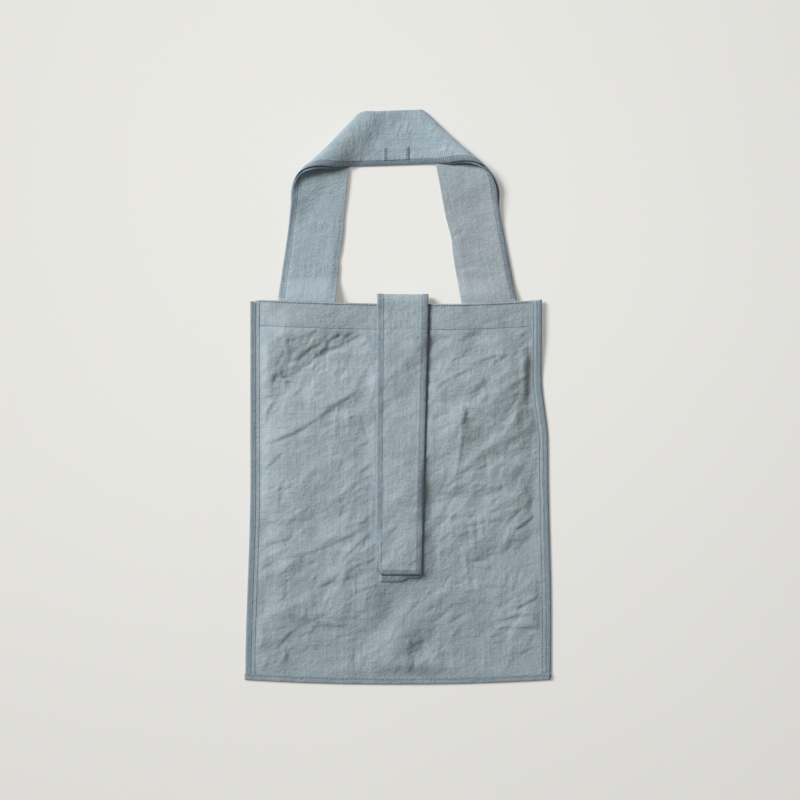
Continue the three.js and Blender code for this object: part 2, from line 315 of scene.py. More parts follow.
# Folds of the front panel with their left side higher than their right side, in the same form
FRONT_STEPS = [
    ((-128, -48), (-42, 3), -3, 5, 0.5),
    ((-127, -47), (-80, -24), -2, 4, 0.9),
    ((-134, -32), (-120, 2), 0, 6, 0.8),
    ((-133, -75), (-112, -54), 0, 6, 0.8),
    ((-39, -77), (-25, -68), 0, 4, 0.8),
    ((-38, -50), (-28, -46), 0, 4, 0.6),
    ((-89, 62), (-67, 63), 2, 3, 0.7),
    ((-101, 33), (-90, 44), 1, 3, 0.9),
    ((-91, 44), (-78, 52), 1, 3, 0.9),
    ((-86, 34), (-75, 44), 1, 3, 1.1),
    ((-77, 44), (-68, 48), 0, 3, 1.0),
    ((-93, 40), (-86, 50), 0, 2, 0.9),
    ((-83, 46), (-76, 55), 0, 2, 0.9),
    ((-71, 52), (-59, 62), 0, 3, 0.9),
    ((-64, 57), (-57, 62), 0, 2, 1.1),
    ((-56, 57), (-45, 62), 0, 3, 1.0),
    ((-52, 53), (-38, 60), 0, 3, 0.9),
    ((-39, 47), (-30, 54), 0, 3, 0.7),
    ((-70, 44), (-49, 44), 0, 4, -0.5),
    ((-98, 51), (-92, 59), 0, 3, 0.6),
    ((-121, 30), (-112, 46), 0, 4, 0.6),
    ((-121, 14), (-90, 11), 1, 5, 1.1),
    ((-124, 20), (-104, 18), 0, 4, 0.6),
    ((-124, 5), (-112, 1), 0, 4, 0.7),
    ((-122, 9), (-113, 6), 0, 3, 0.6),
    ((-134, -2), (-121, 0), 0, 3, 0.5),
    ((-65, -11), (-46, 0), 0, 4, 0.6),
    ((-136, -27), (-124, -5), 0, 4, 0.8),
    ((-137, -150), (-106, -143), 0, 6, 0.8),
    ((-120, -165), (-30, -130), -4, 5, 0.7),
    ((-136, -172), (-122, -166), 0, 4, 0.6),
    ((-119, -180), (-108, -173), 0, 4, 0.5),
    ((-80, -192), (-60, -184), 0, 4, 0.6),
    ((-48, -198), (-17, -189), 1, 4, 0.7),
    ((-121, -254), (-99, -232), 2, 4, 0.8),
    ((-97, -240), (-82, -234), 0, 4, 0.7),
    ((-85, -231), (-50, -231), 1, 5, 0.7),
    ((38, 6), (54, 18), 1, 5, 1.0),
    ((54, 18), (71, 25), 0, 6, 0.9),
    ((96, 33), (109, 40), 0, 4, 1.1),
    ((72, 30), (107, 41), 1, 10, 0.6),
    ((65, -29), (69, -13), 0, 8, 1.2),
    ((66, -32), (77, -31), 0, 3, 0.5),
    ((62, -54), (73, -53), 0, 3, 0.5),
    ((57, -88), (66, -22), -1, 16, 0.5),
    ((68, -12), (80, -15), 0, 3, 0.8),
    ((124, 70), (128, 80), 0, 3, 0.9),
    ((87, 70), (91, 77), 0, 3, 0.6),
    ((100, -93), (112, -86), 0, 4, 0.6),
    ((60, -79), (78, -69), 0, 4, 0.6),
    ((90, -109), (105, -99), 0, 4, 0.7),
    ((116, -134), (136, -122), 0, 5, 1.0),
    ((28, -123), (80, -120), 1, 5, 0.7),
    ((62, -130), (82, -128), 0, 4, 0.6),
    ((57, -142), (56, -128), 0, 4, 0.6),
    ((72, -170), (99, -175), 0, 4, 0.6),
    ((84, -190), (126, -194), 1, 6, 0.8),
    ((117, -214), (140, -201), 0, 5, 1.0),
    ((94, -227), (134, -218), 1, 5, 0.8),
    ((92, -233), (144, -231), 0, 5, 0.8),
    ((57, -243), (87, -240), 0, 5, 0.7),
    ((90, -241), (104, -239), 0, 4, 0.5),
    ((123, -258), (144, -248), 0, 5, 1.0),
    ((8, -258), (36, -248), 0, 6, 0.6),
]

# Short creases between them, drawn at random
UPRIGHT_SHARE = 0.3
UPRIGHT_ANGLE = (88, 12)  # mean and spread, in degrees
SLANTING_ANGLE = (30, 26)
CREASE_HEIGHTS = (0.2, 0.75)
CREASE_WIDTHS = (1.2, 2.8)
CREASE_BOW = (0, 1.5)  # mean and spread


def random_creases(count, seed, low, high, lengths):
    """Short creases scattered over an area. Most run uphill to the right and some run up and down."""
    draw = np.random.default_rng(seed)
    made = []
    for _ in range(count):
        middle = draw.uniform(low, high)
        upright = draw.uniform() < UPRIGHT_SHARE
        angle = math.radians(draw.normal(*(UPRIGHT_ANGLE if upright else SLANTING_ANGLE)))
        length = draw.uniform(*lengths)
        half = np.array([math.cos(angle), math.sin(angle)]) * length / 2
        height = draw.choice([-1, 1]) * draw.uniform(*CREASE_HEIGHTS)
        bow = draw.normal(*CREASE_BOW)
        made.append((middle - half, middle + half, bow, draw.uniform(*CREASE_WIDTHS), height))
    return made


SMALL_CREASES = random_creases(240, 5, (-146, -280), (146, 62), (10, 46))
SMALL_STEPS = random_creases(300, 6, (-146, -280), (146, 70), (5, 26))
SMALL_STEPS += random_creases(70, 8, (-114, 14), (-42, 64), (5, 16))  # the crumples under the hem

UPHILL = math.radians(32)  # the way that most creases run
# Swells of crumpled cloth: height, width, shift of the seed
SWELLS = [(2.6, 95, 0), (2.6, 41, 1)]
# Facets of crumpled cloth: height, width, shift of the seed, stretch, slant as a share of uphill
CRUMPLES = [
    (1.2, 28, 5, 2.4, 1.0),
    (-0.9, 25, 8, 2.2, 0.8),
    (0.65, 12, 6, 2.2, 1.3),
    (-0.5, 11, 9, 2.0, 0.7),
    (0.25, 6, 7, 1.4, 0.6),
]
CRUMPLE_BEND = 7  # how far the ridges between facets wander


def wrinkles(u, v, seed):
    """Crumpled cloth: broad swells, and faceted creases of three sizes that run uphill to the right."""
    bent_u = u + CRUMPLE_BEND * noise(u, v, 33, seed + 3)
    bent_v = v + CRUMPLE_BEND * noise(u, v, 33, seed + 4)
    lumps = 1.2 * noise(bent_u, bent_v, 19, seed + 10) - 0.6
    for height, cell, shift in SWELLS:
        lumps = lumps + height * noise(u, v, cell, seed + shift)
    crumpled = 1.05 + 0.75 * noise(u, v, 60, seed + 2)
    for height, cell, shift, stretch, slant in CRUMPLES:
        dishes = facets(bent_u, bent_v, cell, seed + shift, stretch, slant * UPHILL)
        lumps = lumps + crumpled * height * dishes
    return lumps


# Outline of the body seen from above, where the cloth lies a little out of true.
# Swells of the sides on the way down: how far out, the depth where one starts, its length
LEFT_SWELLS = [(5, 180, 200)]
RIGHT_SWELLS = [(6.5, 75, 70), (3, 150, 170)]
LEFT_OUT = 1  # how far out the left end of the mouth lies
RIGHT_IN = 2  # how far in the right end lies
MOUTH_LOWEST = 35  # x of the lowest place of the mouth
MOUTH_REACH = (165, 103)  # from there to the left and the right, where it is higher by the sag
MOUTH_SAG = 4.2
MOUTH_DIP = 1.4
BOTTOM_SAG = 4.6
BOTTOM_CURVE = 2.2
BOTTOM_DIP = 1.2


def swollen(q, swells):
    return sum(out * smooth((q - start) / length) for out, start, length in swells)


def left_edge(q):
    return -(MOUTH_HALF + LEFT_OUT + swollen(q, LEFT_SWELLS))


def right_edge(q):
    return MOUTH_HALF - RIGHT_IN + swollen(q, RIGHT_SWELLS)


def mouth_rise(x):
    reach = np.where(x < MOUTH_LOWEST, *MOUTH_REACH)
    corner_droop = 2 * smooth((-135 - x) / 12)
    return MOUTH_SAG * ((x - MOUTH_LOWEST) / reach) ** 2 - MOUTH_DIP - corner_droop


def bottom_rise(x):
    return BOTTOM_SAG * np.abs(x / BOTTOM_HALF) ** BOTTOM_CURVE - BOTTOM_DIP


def body_plan(p, q):
    """Where a place on a panel lies: p is from -1 to 1 across and q is the depth below the mouth."""
    x = lerp(left_edge(q) + EDGE_MARGIN, right_edge(q) - EDGE_MARGIN, (p + 1) / 2)
    y = MOUTH - q + lerp(mouth_rise(x), bottom_rise(x), q / BAG_HEIGHT)
    return x, y


def body_place(x, y):
    """The p and q of a place."""
    top = mouth_rise(x)
    q = (MOUTH + top - y) / (1 - (bottom_rise(x) - top) / BAG_HEIGHT)
    q = np.clip(q, 0, BAG_HEIGHT)
    left = left_edge(q) + EDGE_MARGIN
    return 2 * (x - left) / (right_edge(q) - EDGE_MARGIN - left) - 1, q


# Heights and places on the front panel
CORNER_LIFT = 3.5
CORNER_DEPTH = 85  # how far down from the mouth the lift reaches
SEAM_FREE = (8, 10)  # distance from a side where the panels come free, and how gradually
SEAM_FOLD = 2.2
SEAM_FOLD_X = 127
SEAM_FOLD_HALF = 4.5
SEAM_FOLD_Y = (-8, 46)
SEAM_PUCKER = 0.12
PANEL_GAP = 0.05  # least gap between the panels
FRONT_SEED = 11
CREASE_GAIN = 1.2  # by which its creases are heightened
HEM_CALM = 0.5  # the share of the crumples that is left above the hem stitching
HEM_GUTTER = 0.4  # depth of the hollow along the hem stitching
TIE_CALM = 0.55  # the share of the crumples that the ties press flat
TIE_MIDDLE = 2
TIE_PRESS_HALF = 34
TIE_PRESS_DEPTH = 278


def body_half(q):
    return lerp(MOUTH_HALF, BOTTOM_HALF, q / BAG_HEIGHT)


def crown(p, q):
    """Height of the middle of the front panel before it is wrinkled."""
    half = body_half(q)
    share = np.abs(p) * (half - EDGE_MARGIN) / (half - CROWN_MARGIN)
    squareness = lerp(MOUTH_SQUARENESS, BOTTOM_SQUARENESS, q / BAG_HEIGHT)
    across = np.clip(1 - share**squareness, 0, 1)
    fullness = 1 - np.clip(q / FREE_HEIGHT, 0, 1) ** SAG_POWER
    return SEAM_FRONT + CROWN_RISE * across * fullness


def lifted_corner(p, q):
    """The right end of the mouth stands a little off the floor."""
    return CORNER_LIFT * smooth((p - 0.75) / 0.25) * smooth((CORNER_DEPTH - q) / 60)


def inside_seam(p, q):
    """Distance in from the nearer side."""
    return (1 - np.abs(p)) * body_half(q)


def seam_room(p, q):
    """How free the panels are: 0 at the seams and 1 well inside them."""
    start, ramp = SEAM_FREE
    return smooth((inside_seam(p, q) - start) / ramp) * smooth((FREE_HEIGHT - q) / 14)


def fold_by_right_seam(x, y):
    """The narrow fold where the cloth meets the right seam, below the mouth."""
    across = np.exp(-(((x - SEAM_FOLD_X) / SEAM_FOLD_HALF) ** 2))
    return SEAM_FOLD * window(y, *SEAM_FOLD_Y, 14) * across


def front_point(p, q):
    """Middle surface of the front panel."""
    x, y = body_plan(p, q)
    lumps = wrinkles(x, y, FRONT_SEED)
    for line in FRONT_CREASES + SMALL_CREASES:
        lumps = lumps + CREASE_GAIN * crease(x, y, *line)
    for line in FRONT_STEPS + SMALL_STEPS:
        lumps = lumps + step_fold(x, y, *line)
    hem = lerp(HEM_CALM, 1, smooth((q - HEM_STITCH) / 10))
    pressed = smooth((TIE_PRESS_HALF - np.abs(x - TIE_MIDDLE)) / 14)
    pressed = pressed * smooth((TIE_PRESS_DEPTH - q) / 12)
    gutter = HEM_GUTTER * np.exp(-(((q - HEM_STITCH) / 1.6) ** 2))
    room = seam_room(p, q)
    pucker = SEAM_PUCKER * noise(x, y, 5, 31) * (1 - room)
    z = crown(p, q) + (lumps * hem * (1 - TIE_CALM * pressed) - gutter) * room
    z = z + pucker + lifted_corner(p, q)
    z = np.maximum(z, back_point(p, q)[..., 2] + PLY + PANEL_GAP)
    z = z + fold_by_right_seam(x, y)
    return xyz(x, y, z)


def back_point(p, q):
    """Middle surface of the back panel, which lies on the floor."""
    x, y = body_plan(p, q)
    sideways = (SEAM_WIDTH - inside_seam(p, q)) / BACK_LIFT + 1
    downwards = (q - FREE_HEIGHT) / BACK_LIFT + 1
    lifted = SEAM_BACK_LIFT * np.clip(np.maximum(sideways, downwards), 0, 1)
    free = seam_room(p, q) * smooth((q - HEM_DEPTH - 4) / 20)
    free = free * smooth(1.6 * (crown(p, q) - 2.2) / CROWN_RISE)
    lumps = 0.9 * facets(x, y, 26, 57, 1.5, 0.6) + 0.4 * facets(x, y, 11, 58)
    z = PLY / 2 + lifted + free * lumps + lifted_corner(p, q)
    return xyz(x, y, z)


def front_height(x, y):
    return front_point(*body_place(x, y))[..., 2]


# Sheets of cloth
def run_length(points):
    steps = np.linalg.norm(np.diff(points, axis=0), axis=1)
    return np.concatenate([[0], np.cumsum(steps)])


def grid_normals(points):
    return unit(np.cross(np.gradient(points, axis=1), np.gradient(points, axis=0)))


def sample(grid, rows, columns):
    i = np.clip(np.floor(rows).astype(int), 0, grid.shape[0] - 2)
    j = np.clip(np.floor(columns).astype(int), 0, grid.shape[1] - 2)
    s = (rows - i)[:, None]
    t = (columns - j)[:, None]
    near = lerp(grid[i, j], grid[i, j + 1], t)
    far = lerp(grid[i + 1, j], grid[i + 1, j + 1], t)
    return lerp(near, far, s)


class Cloth:
    """A sheet as a grid of points, with the normal at each."""

    def __init__(self, points, thickness=PLY, normals=None):
        self.points = points
        self.half = thickness / 2
        self.normals = grid_normals(points) if normals is None else normals

    def turned(self):
        """The same sheet with its rows and columns swapped."""
        return Cloth(self.points.swapaxes(0, 1), 2 * self.half, self.normals.swapaxes(0, 1))

    def part(self, rows=slice(None), columns=slice(None)):
        """Some of the rows and columns."""
        return Cloth(self.points[rows, columns], 2 * self.half, self.normals[rows, columns])

    def mirrored(self):
        """The same sheet with its columns counted from the other edge."""
        return self.part(columns=slice(None, None, -1))

    def edge_length(self):
        return run_length(self.points[:, 0])[-1]

    def at(self, along, inwards, lift):
        """Points at distances along the first column and inwards from it, lifted off the middle."""
        along, inwards, lift = np.broadcast_arrays(along, inwards, lift)
        rows = np.interp(along, run_length(self.points[:, 0]), np.arange(self.points.shape[0]))
        middle = self.points[self.points.shape[0] // 2]
        columns = np.interp(inwards, run_length(middle), np.arange(self.points.shape[1]))
        return sample(self.points, rows, columns) + sample(self.normals, rows, columns) * lift[:, None]


def linked(name, data):
    made = bpy.data.objects.new(name, data)
    bpy.context.scene.collection.objects.link(made)
    return made


def add_object(name, points, faces, material):
    mesh = bpy.data.meshes.new(name)
    mesh.from_pydata(points * MM, [], faces)
    mesh.polygons.foreach_set("use_smooth", np.ones(len(mesh.polygons), bool))
    mesh.materials.append(material)
    return linked(name, mesh)


ROLL_STEP = 300.0  # along the roll of cloth from one piece to the next


def add_cloth(name, cloth, u, v, material):
    """A closed mesh with the sheet's thickness. Its u and v are places on the flat cloth."""
    rows, columns = cloth.points.shape[:2]
    offset = cloth.normals * cloth.half
    faces = (cloth.points + offset, cloth.points - offset)
    points = np.concatenate([face.reshape(-1, 3) for face in faces])
    count = rows * columns
    index = np.arange(count).reshape(rows, columns)
    corners = [index[:-1, :-1], index[:-1, 1:], index[1:, 1:], index[1:, :-1]]
    over = np.stack(corners, axis=-1).reshape(-1, 4)
    under = over[:, ::-1] + count
    rim = np.concatenate([index[0, :-1], index[:-1, -1], index[-1, :0:-1], index[:0:-1, 0]])
    after = np.roll(rim, -1)
    walls = np.stack([rim, rim + count, after + count, after], axis=-1)
    made = add_object(name, points, np.concatenate([over, under, walls]), material)
    roll = ROLL_STEP * len(bpy.data.objects)
    flat = xyz(u + roll, v, roll).reshape(-1, 3)
    weave = made.data.attributes.new("weave", "FLOAT_VECTOR", "POINT")
    weave.data.foreach_set("vector", np.concatenate([flat, flat]).astype(np.float32).ravel())
    return made


def add_flat_cloth(name, cloth, material):
    """A sheet that lies about as it was cut."""
    return add_cloth(name, cloth, cloth.points[..., 0], cloth.points[..., 1], material)


# Threads
SIDES = 6  # of a thread


class Threads:
    """Thin tubes gathered into one mesh."""

    def __init__(self):
        self.points = []
        self.faces = []
        self.count = 0

    def tube(self, path, radius):
        """A closed six-sided tube along a path of points."""
        ahead = unit(np.gradient(path, axis=0))
        side = unit(np.cross(ahead, THREAD_REFERENCE))
        up = np.cross(side, ahead)
        turn = np.arange(SIDES)[None, :, None] * 2 * math.pi / SIDES
        ring = np.cos(turn) * side[:, None] + np.sin(turn) * up[:, None]
        index = self.count + np.arange(SIDES * len(path)).reshape(-1, SIDES)
        beside = np.roll(index, -1, axis=1)
        walls = np.stack([index[:-1], index[1:], beside[1:], beside[:-1]], axis=-1).reshape(-1, 4)
        first = index[0]
        last = index[-1]
        caps = [first[[0, 1, 2, 3]], first[[0, 3, 4, 5]], last[[3, 2, 1, 0]], last[[5, 4, 3, 0]]]
        self.points.append((path[:, None] + radius * ring).reshape(-1, 3))
        self.faces.extend([walls, np.array(caps)])
        self.count += SIDES * len(path)

    def made(self, name, material):
        return add_object(name, np.concatenate(self.points), np.concatenate(self.faces), material)


# One stitch of a looper thread: share of the pitch, share of the depth. Below 0 is round the edge.
LOOPER = [(0, 1), (0.16, 0.5), (0.3, 0.05), (0.4, -1), (0.52, 0.05), (0.76, 0.5)]
# One stitch of a sewing thread: share of the pitch, height in radii
STITCH = [(0, -0.9), (0.18, 0.55), (0.5, 0.85), (0.82, 0.55)]
HOLE_DEPTHS = np.array([-0.1, 0.06])


def overlock(threads, over, under, depth, start, end):
    """Two looper threads that zigzag over both faces of an edge and meet round it.

    The edge is the first column of both sheets. Over and under are the same sheet where one ply
    is overlocked alone.
    """
    count = int((end - start) / OVERLOCK_PITCH)
    pattern = np.array(LOOPER)
    inwards = np.tile(pattern[:, 1], count)
    for sheet, face, shift in ((over, 1, 0.0), (under, -1, 0.5)):
        stitch = np.arange(count)[:, None] + pattern[:, 0] + shift
        along = start + stitch.ravel() * OVERLOCK_PITCH
        flat = sheet.at(along, np.maximum(inwards, 0) * depth, face * (sheet.half + 0.8 * THREAD))
        brink = (over.at(along, 0, 0) + under.at(along, 0, 0)) / 2
        outwards = unit(over.at(along, 0, 0) - over.at(along, 2, 0))
        path = np.where((inwards < 0)[:, None], brink + 0.9 * THREAD * outwards, flat)
        threads.tube(path, THREAD)


def stitching(threads, sheet, inwards, face, start, end, radius):
    """A row of stitches along a sheet: one thread that dips into the cloth between stitches."""
    count = int((end - start) / STITCH_PITCH)
    shares, lifts = np.array(STITCH).T
    along = start + (np.arange(count)[:, None] + shares).ravel() * STITCH_PITCH
    lift = face * (sheet.half + np.tile(lifts, count) * radius)
    threads.tube(sheet.at(along, inwards, lift), radius)


def needle_holes(threads, sheet, inwards, face, start, end, radius, pitch=STITCH_PITCH):
    """Dark discs of painted shade, where the holes between the stitches of a row are."""
    for along in start + np.arange(int((end - start) / pitch)) * pitch:
        threads.tube(sheet.at(along, inwards, face * (sheet.half + HOLE_DEPTHS)), radius)


# Materials
BODY_LIGHT = (0.37, 0.432, 0.462, 1)
BODY_DARK = (0.234, 0.3, 0.344, 1)
HANDLE_LIGHT = (0.378, 0.46, 0.502, 1)
HANDLE_DARK = (0.252, 0.333, 0.39, 1)
RIGHT_LEG_TINT = (1.0, 0.93, 0.91, 1)
# Painted shade: the body cloth is multiplied by this towards the bottom, in place of light falling off
# there
BOTTOM_PAINTED_SHADE = (0.86, 0.875, 0.885, 1)
THREAD_LIGHT = (0.295, 0.368, 0.44, 1)
THREAD_DARK = (0.17, 0.228, 0.295, 1)
# Painted shade inside the needle holes: the darkest, and a little lighter
HOLE_PAINTED_SHADE = (0.03, 0.04, 0.05, 1)
HOLE_PAINTED_SHADE_LIGHT = (0.08, 0.1, 0.12, 1)
# Floor colour at the middle, and the darker painted shade it takes on further out
FLOOR_LIGHT = (0.8, 0.8, 0.78, 1)
FLOOR_PAINTED_SHADE = (0.66, 0.658, 0.64, 1)

# Streaks of the weave: scale across, along and off the cloth, and how far they change its tone
CLOTH_STREAKS = [
    ((0.42, 0.011, 1), 0.3),
    ((0.9, 0.1, 1), 0.4),
    ((0.05, 0.8, 1), 0.1),
    ((0.05, 0.035, 1), 0.3),
    ((1.0, 0.85, 1), 0.8),
]
YARN_PITCH = 1.1
YARN_HEIGHT = 0.04
FACET_BEND_SCALE = 0.08
FACET_BEND = (16, 16, 0)  # how far the ridges between facets wander

# Painted light on the floor: brightest round the middle and darker out to the reach, with a glow of its
# own
FLOOR_MIDDLE = (-0.04, 0.16, 0)
FLOOR_SHADE_REACH = 1.1
FLOOR_GLOW = 0.32  # the share of the floor's light that shadows don't take away


class Nodes:
    """Adds nodes to a material one by one."""

    def __init__(self, name):
        self.material = bpy.data.materials.new(name)
        self.material.use_nodes = True
        self.tree = self.material.node_tree
        self.shader = self.tree.nodes["Principled BSDF"]

    def fill(self, node, sockets):
        """Gives each socket its value, or links it to the output of another node."""
        for key, value in sockets.items():
            if isinstance(value, bpy.types.NodeSocket):
                self.tree.links.new(value, node.inputs[key])
            else:
                node.inputs[key].default_value = value

    def add(self, kind, sockets, **settings):
        """A new node, of which the outputs are given back."""
        node = self.tree.nodes.new(kind)
        for key, value in settings.items():
            setattr(node, key, value)
        self.fill(node, sockets)
        return node.outputs

    def surface(self, **sockets):
        """Fills the sockets of the shader, whose names are written with underscores here."""
        self.fill(self.shader, {key.replace("_", " "): value for key, value in sockets.items()})
        return self.material

    def place(self):
        return self.add("ShaderNodeTexCoord", {})["Object"]

    def math(self, operation, a, b):
        return self.add("ShaderNodeMath", {0: a, 1: b}, operation=operation)[0]

    def total(self, first, *others):
        for other in others:
            first = self.math("ADD", first, other)
        return first

    def vector_math(self, operation, *vectors):
        return self.add("ShaderNodeVectorMath", dict(enumerate(vectors)), operation=operation)

    def noise(self, vector, scale, detail=2.0):
        """Noise on a vector whose axes are scaled first."""
        scaled = self.vector_math("MULTIPLY", vector, scale)[0]
        return self.add("ShaderNodeTexNoise", {"Scale": 1.0, "Detail": detail, "Vector": scaled})["Fac"]

    def facets(self, vector, scale, height):
        """Dishes that meet in sharp ridges, on a vector whose axes are bent and scaled first."""
        bend = self.add("ShaderNodeTexNoise", {"Scale": FACET_BEND_SCALE, "Vector": vector})["Color"]
        bent = self.vector_math("MULTIPLY_ADD", bend, FACET_BEND, vector)[0]
        scaled = self.vector_math("MULTIPLY", bent, scale)[0]
        sockets = {"Scale": 1.0, "Vector": scaled}
        away = self.add("ShaderNodeTexVoronoi", sockets, feature="F1")["Distance"]
        return self.math("MULTIPLY", self.math("MULTIPLY", away, away), height)

    def ranged(self, value, low, high):
        """The middle of a noise stretched to run from low to high."""
        sockets = {"Value": value, "From Min": 0.3, "From Max": 0.7, "To Min": low, "To Max": high}
        return self.add("ShaderNodeMapRange", sockets)["Result"]

    def ramp(self, value, low, high):
        """0 up to low and 1 from high on, with a soft rise between them."""
        sockets = {"Value": value, "From Min": low, "From Max": high}
        return self.add("ShaderNodeMapRange", sockets, interpolation_type="SMOOTHSTEP")["Result"]

    def mixed(self, share, low, high, **settings):
        sockets = {"Factor": share, 6: low, 7: high}
        return self.add("ShaderNodeMix", sockets, data_type="RGBA", **settings)[2]

    def bump(self, height, strength, distance):
        sockets = {"Strength": strength, "Distance": distance * MM, "Height": height}
        return self.add("ShaderNodeBump", sockets)["Normal"]


def cloth_material(name, light, dark, crinkled, tint_and_shade):
    """Plain weave of slubby yarn. Streaks run along the warp, and weaker ones along the weft.

    The last argument is a colour that the cloth is multiplied by, and the places along the warp where
    it starts and where it is full. On the body it is painted shade that darkens the cloth towards the
    bottom; on the handles it tints the right leg.
    """
    n = Nodes(name)
    weave = n.add("ShaderNodeAttribute", {}, attribute_name="weave")["Vector"]
    streaks = [n.ranged(n.noise(weave, scale), -reach, reach) for scale, reach in CLOTH_STREAKS]
    share = n.math("ADD", n.math("MULTIPLY", n.total(*streaks), 0.6), 0.5)
    across, along, _ = n.add("ShaderNodeSeparateXYZ", {0: weave})
    tint, tinted_from, tinted_to = tint_and_shade
    tint = n.mixed(n.ramp(along, tinted_from, tinted_to), (1, 1, 1, 1), tint)
    colour = n.mixed(1, n.mixed(share, dark, light), tint, blend_type="MULTIPLY")
    yarns = 2 * math.pi / YARN_PITCH
    warp_yarn = n.math("SINE", n.math("MULTIPLY", across, yarns), 0)
    weft_yarn = n.math("SINE", n.math("MULTIPLY", along, yarns), 0)
    yarn = n.math("MULTIPLY", warp_yarn, n.math("MULTIPLY", weft_yarn, YARN_HEIGHT))
    crinkle = n.math("MULTIPLY", n.noise(weave, (0.33, 0.38, 1), 4.0), crinkled)
    facet = n.facets(weave, (0.08, 0.14, 1), 0.22)
    wandering = n.math("SUBTRACT", n.noise(weave, (0.05, 0.085, 1), 3.0), 0.5)
    crackle = n.math("MULTIPLY", n.math("ABSOLUTE", wandering, 0), 2.2 * crinkled)
    return n.surface(
        Base_Color=colour,
        Normal=n.bump(n.total(yarn, crinkle, facet, crackle), 0.8, 1.6),
        Roughness=0.92,
        Specular_IOR_Level=0.2,
        Sheen_Weight=0.12,
        Sheen_Roughness=0.5,
    )


def thread_material():
    """Spun thread with a soft shine."""
    n = Nodes("sewing_thread")
    place = n.place()
    share = n.ranged(n.noise(place, (420, 420, 420)), 0, 1)
    return n.surface(
        Base_Color=n.mixed(share, THREAD_DARK, THREAD_LIGHT),
        Normal=n.bump(n.noise(place, (2600, 2600, 2600)), 0.3, 0.1),
        Roughness=0.7,
        Specular_IOR_Level=0.35,
    )


def painted_hole_shade_material():
    """Painted shade inside a needle hole."""
    n = Nodes("needle_hole_shade")
    share = n.ranged(n.noise(n.place(), (300, 300, 300)), 0, 1)
    colour = n.mixed(share, HOLE_PAINTED_SHADE, HOLE_PAINTED_SHADE_LIGHT)
    return n.surface(Base_Color=colour, Roughness=1.0, Specular_IOR_Level=0.0)


def floor_material():
    """A pale floor with painted shade that darkens it away from the middle, and painted light: it gives
    off a share of its light.
    """
    n = Nodes("pale_floor")
    place = n.place()
    away = n.vector_math("LENGTH", n.vector_math("SUBTRACT", place, FLOOR_MIDDLE)[0])["Value"]
    worn = n.ranged(n.noise(place, (1.5, 1.5, 1.5)), -0.05, 0.05)
    share = n.math("ADD", n.ramp(away, 0, FLOOR_SHADE_REACH), worn)
    colours = (FLOOR_LIGHT, FLOOR_PAINTED_SHADE)
    dimmed = [tuple((1 - FLOOR_GLOW) * value for value in colour) for colour in colours]
    return n.surface(
        Base_Color=n.mixed(share, *dimmed),
        Emission_Color=n.mixed(share, *colours),
        Emission_Strength=FLOOR_GLOW,
        Roughness=0.9,
        Specular_IOR_Level=0.1,
    )


# Painted shade on the body cloth: none from y = -20 mm, full from y = -290 mm down
BODY_PAINTED_SHADE = (BOTTOM_PAINTED_SHADE, -20, -290)
HANDLE_FADE = (RIGHT_LEG_TINT, 300, 350)
CLOTH = cloth_material("body_cloth", BODY_LIGHT, BODY_DARK, 0.5, BODY_PAINTED_SHADE)
HANDLE_CLOTH = cloth_material("handle_cloth", HANDLE_LIGHT, HANDLE_DARK, 0.46, HANDLE_FADE)
YARN = thread_material()
HOLE_SHADE = painted_hole_shade_material()


def sewn(piece, body, nodes=()):
    """A piece that stays with one body."""
    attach(piece, body)
    if nodes:
        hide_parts(*nodes)


# Panels, facings and seams
def panel_grid(step):
    return np.meshgrid(spread(-1, 1, step / MOUTH_HALF), spread(PANEL_HEIGHT, 0, step))


def add_body():
    front = Cloth(front_point(*panel_grid(PANEL_STEP)))
    piece = add_flat_cloth("front_panel", front, CLOTH)
    sewn(piece, "bag", ["front_panel"])

    back = Cloth(back_point(*panel_grid(BACK_STEP)))
    piece = add_flat_cloth("back_panel", back, CLOTH)
    sewn(piece, "bag", ["back_panel"])
    return front, back


STRAP_MARGIN = 6  # how far beside a strap the mouth is held open by it
STRAP_RAMP = 5


def strap_share(x):
    """1 where a handle or a tie passes through the mouth, and 0 between them."""
    share = np.zeros(np.shape(x))
    for node in ("front_handle_left_end", "front_handle_right_end", "back_tie_root"):
        middle, half = across_mm(node)
        share = np.maximum(share, smooth((half + STRAP_MARGIN - np.abs(x - middle)) / STRAP_RAMP))
    return share


def add_facings():
    half = box_mm("front_facing")[1][0] / MOUTH_HALF
    p, q = np.meshgrid(spread(-half, half, HIDDEN_STEP / MOUTH_HALF), spread(HEM_DEPTH, 0, HIDDEN_STEP))

    def gap(points):
        folded = (1 - strap_share(points[..., 0])) * smooth(1 - q / FACING_TURN)
        return lerp(FACING_DROP, PLY + FACING_FOLD, folded)

    points = front_point(p, q)
    points[..., 2] -= gap(points)
    piece = add_flat_cloth("front_facing", Cloth(points), CLOTH)
    sewn(piece, "bag", ["front_facing"])

    points = back_point(p, q)
    points[..., 2] += gap(points) + 0.1 * noise(points[..., 0], points[..., 1], 14, 41)
    piece = add_flat_cloth("back_facing", Cloth(points), CLOTH)
    sewn(piece, "bag", ["back_facing"])


def add_sewn_ends():
    for side, leg in (("left", LEFT_LEG), ("right", RIGHT_LEG)):
        across = leg["foot"] + spread(-HANDLE_WIDTH / 2, HANDLE_WIDTH / 2, HIDDEN_STEP)
        x, y = np.meshgrid(across, MOUTH + spread(-SEWN_DEPTH, -0.2, HIDDEN_STEP))
        heights = {"front": front_height(x, y) - END_DROP, "back": np.full(x.shape, BACK_END_HEIGHT)}
        for which, z in heights.items():
            name = f"{which}_handle_{side}_end"
            piece = add_flat_cloth(name, Cloth(xyz(x, y, z), 2 * PLY), HANDLE_CLOTH)
            sewn(piece, "bag", [name])


